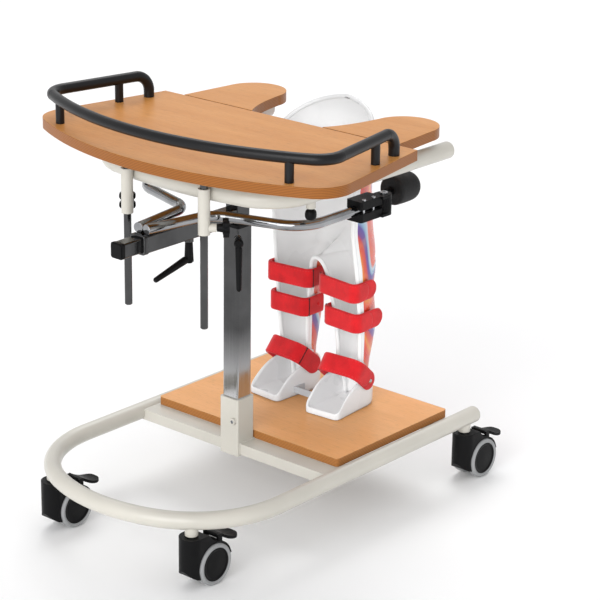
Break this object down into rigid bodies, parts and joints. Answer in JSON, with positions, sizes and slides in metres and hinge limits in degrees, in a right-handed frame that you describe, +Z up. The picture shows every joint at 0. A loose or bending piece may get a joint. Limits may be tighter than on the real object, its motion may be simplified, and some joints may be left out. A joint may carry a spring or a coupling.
{
  "type": "standing frame",
  "caption": "Child's standing frame on a castor base with a telescopic column, tray table with grab rail, side bolsters and a moulded leg and trunk shell with straps.",
  "frame": {"origin": "on the floor under the middle of the frame's bounding box", "axes": "+Z up, -Y to the front where the base is closed and the table's rail runs, +X to the side with the column's lever"},
  "size_m": [0.658, 0.8148, 0.7305],
  "materials": {
    "cream_coat": "satin powder coat",
    "chrome": "bright plated",
    "black_plastic": "fine grained, matte",
    "black_coat": "satin black powder coat",
    "tread": "matte grey tread",
    "beech": "clear lacquered laminate",
    "shell_white": "glossy, printed on the outside",
    "strap_red": "padded felt",
    "zinc": "zinc plated",
    "grey_plastic": "matte",
    "foam": "closed-cell foam, pebbled skin"
  },
  "bodies": {
    "base": {"base_tube": "cream_coat", "base_end_caps": "cream_coat", "cross_bars": "cream_coat", "column_socket": "cream_coat", "base_screws": "zinc", "outer_column": "chrome", "column_glide": "black_plastic", "foot_plate": "beech", "caster_stems": "zinc", "standing_shell": "shell_white", "foot_troughs": "shell_white", "foot_spacer": "grey_plastic", "leg_straps": "strap_red", "strap_rivets": "zinc"},
    "mast": {"inner_mast": "chrome", "mast_foot": "black_plastic", "arm_rail": "chrome", "arm_cap": "black_plastic", "table_frame": "cream_coat", "push_handles": "cream_coat", "handle_caps": "cream_coat", "frame_crossbar": "cream_coat", "rod_sleeves": "cream_coat"},
    "bow": {"bow_sleeve": "chrome", "bow_tubes": "chrome", "clamp_blocks": "black_plastic", "clamp_screws": "zinc"},
    "table": {"table_board": "beech", "wing_near": "beech", "wing_far": "beech", "wing_plates": "zinc", "table_screws": "zinc", "table_rods": "chrome", "grab_rail": "black_coat"},
    "column_lever": {"column_lever": "black_plastic"},
    "arm_lever": {"arm_lever": "black_plastic"},
    "star_knob_near": {"star_knob_near": "black_plastic"},
    "star_knob_far": {"star_knob_far": "black_plastic"},
    "handle_knob_near": {"handle_knob_near": "black_plastic"},
    "handle_knob_far": {"handle_knob_far": "black_plastic"},
    "bolster_near": {"bolster_drum_near": "black_plastic", "bolster_pad_near": "foam"},
    "bolster_far": {"bolster_drum_far": "black_plastic", "bolster_pad_far": "foam"},
    "caster_fl": {"caster_fl_hood": "black_plastic"},
    "wheels_fl": {"caster_fl_wheels": "black_plastic", "caster_fl_tyres": "tread"},
    "pedal_fl": {"caster_fl_pedal": "black_plastic"},
    "caster_fr": {"caster_fr_hood": "black_plastic"},
    "wheels_fr": {"caster_fr_wheels": "black_plastic", "caster_fr_tyres": "tread"},
    "pedal_fr": {"caster_fr_pedal": "black_plastic"},
    "caster_rl": {"caster_rl_hood": "black_plastic"},
    "wheels_rl": {"caster_rl_wheels": "black_plastic", "caster_rl_tyres": "tread"},
    "pedal_rl": {"caster_rl_pedal": "black_plastic"},
    "caster_rr": {"caster_rr_hood": "black_plastic"},
    "wheels_rr": {"caster_rr_wheels": "black_plastic", "caster_rr_tyres": "tread"},
    "pedal_rr": {"caster_rr_pedal": "black_plastic"}
  },
  "joints": [
    {"name": "mast_lift", "type": "slide", "parent": "base", "child": "mast", "axis": [0, 0, 1], "range_m": [0, 0.18]},
    {"name": "bow_slide", "type": "slide", "parent": "mast", "child": "bow", "axis": [0, 1, 0], "range_m": [-0.035, 0.045]},
    {"name": "table_lift", "type": "slide", "parent": "mast", "child": "table", "axis": [0, 0, 1], "range_m": [-0.01, 0.12]},
    {"name": "column_lever_turn", "type": "hinge", "parent": "base", "child": "column_lever", "pos_m": [0, -0.0525, 0.501], "axis": [0.7071, -0.7071, 0], "range_deg": [0, 95]},
    {"name": "arm_lever_turn", "type": "hinge", "parent": "bow", "child": "arm_lever", "pos_m": [0, -0.1718, 0.504], "axis": [0, 0, 1], "range_deg": [-70, 70]},
    {"name": "star_knob_near_turn", "type": "hinge", "parent": "mast", "child": "star_knob_near", "pos_m": [0.087, -0.22749, 0.573], "axis": [0.7071, 0.7071, 0], "continuous": true},
    {"name": "star_knob_far_turn", "type": "hinge", "parent": "mast", "child": "star_knob_far", "pos_m": [-0.087, -0.22749, 0.573], "axis": [-0.7071, 0.7071, 0], "continuous": true},
    {"name": "handle_knob_near_turn", "type": "hinge", "parent": "mast", "child": "handle_knob_near", "pos_m": [0.206, -0.1035, 0.594], "axis": [0, 0, 1], "continuous": true},
    {"name": "handle_knob_far_turn", "type": "hinge", "parent": "mast", "child": "handle_knob_far", "pos_m": [-0.206, -0.1035, 0.594], "axis": [0, 0, 1], "continuous": true},
    {"name": "bolster_near_turn", "type": "hinge", "parent": "bow", "child": "bolster_near", "pos_m": [0.196, 0.0965, 0.56505], "axis": [0, 0, 1], "range_deg": [-20, 12]},
    {"name": "bolster_far_turn", "type": "hinge", "parent": "bow", "child": "bolster_far", "pos_m": [-0.196, 0.0965, 0.56505], "axis": [0, 0, 1], "range_deg": [-12, 20]},
    {"name": "caster_fl_swivel", "type": "hinge", "parent": "base", "child": "caster_fl", "pos_m": [-0.16337, -0.33918, 0.066], "axis": [0, 0, 1], "continuous": true},
    {"name": "wheels_fl_spin", "type": "hinge", "parent": "caster_fl", "child": "wheels_fl", "pos_m": [-0.16337, -0.30518, 0.036], "axis": [1, 0, 0], "continuous": true},
    {"name": "pedal_fl_press", "type": "hinge", "parent": "caster_fl", "child": "pedal_fl", "pos_m": [-0.16337, -0.28918, 0.0785], "axis": [1, 0, 0], "range_deg": [-10, 0]},
    {"name": "caster_fr_swivel", "type": "hinge", "parent": "base", "child": "caster_fr", "pos_m": [0.16337, -0.33918, 0.066], "axis": [0, 0, 1], "continuous": true},
    {"name": "wheels_fr_spin", "type": "hinge", "parent": "caster_fr", "child": "wheels_fr", "pos_m": [0.16337, -0.30518, 0.036], "axis": [1, 0, 0], "continuous": true},
    {"name": "pedal_fr_press", "type": "hinge", "parent": "caster_fr", "child": "pedal_fr", "pos_m": [0.16337, -0.28918, 0.0785], "axis": [1, 0, 0], "range_deg": [-10, 0]},
    {"name": "caster_rl_swivel", "type": "hinge", "parent": "base", "child": "caster_rl", "pos_m": [-0.227, 0.3095, 0.066], "axis": [0, 0, 1], "continuous": true},
    {"name": "wheels_rl_spin", "type": "hinge", "parent": "caster_rl", "child": "wheels_rl", "pos_m": [-0.227, 0.3435, 0.036], "axis": [1, 0, 0], "continuous": true},
    {"name": "pedal_rl_press", "type": "hinge", "parent": "caster_rl", "child": "pedal_rl", "pos_m": [-0.227, 0.3595, 0.0785], "axis": [1, 0, 0], "range_deg": [-10, 0]},
    {"name": "caster_rr_swivel", "type": "hinge", "parent": "base", "child": "caster_rr", "pos_m": [0.227, 0.3095, 0.066], "axis": [0, 0, 1], "continuous": true},
    {"name": "wheels_rr_spin", "type": "hinge", "parent": "caster_rr", "child": "wheels_rr", "pos_m": [0.227, 0.3435, 0.036], "axis": [1, 0, 0], "continuous": true},
    {"name": "pedal_rr_press", "type": "hinge", "parent": "caster_rr", "child": "pedal_rr", "pos_m": [0.227, 0.3595, 0.0785], "axis": [1, 0, 0], "range_deg": [-10, 0]}
  ]
}
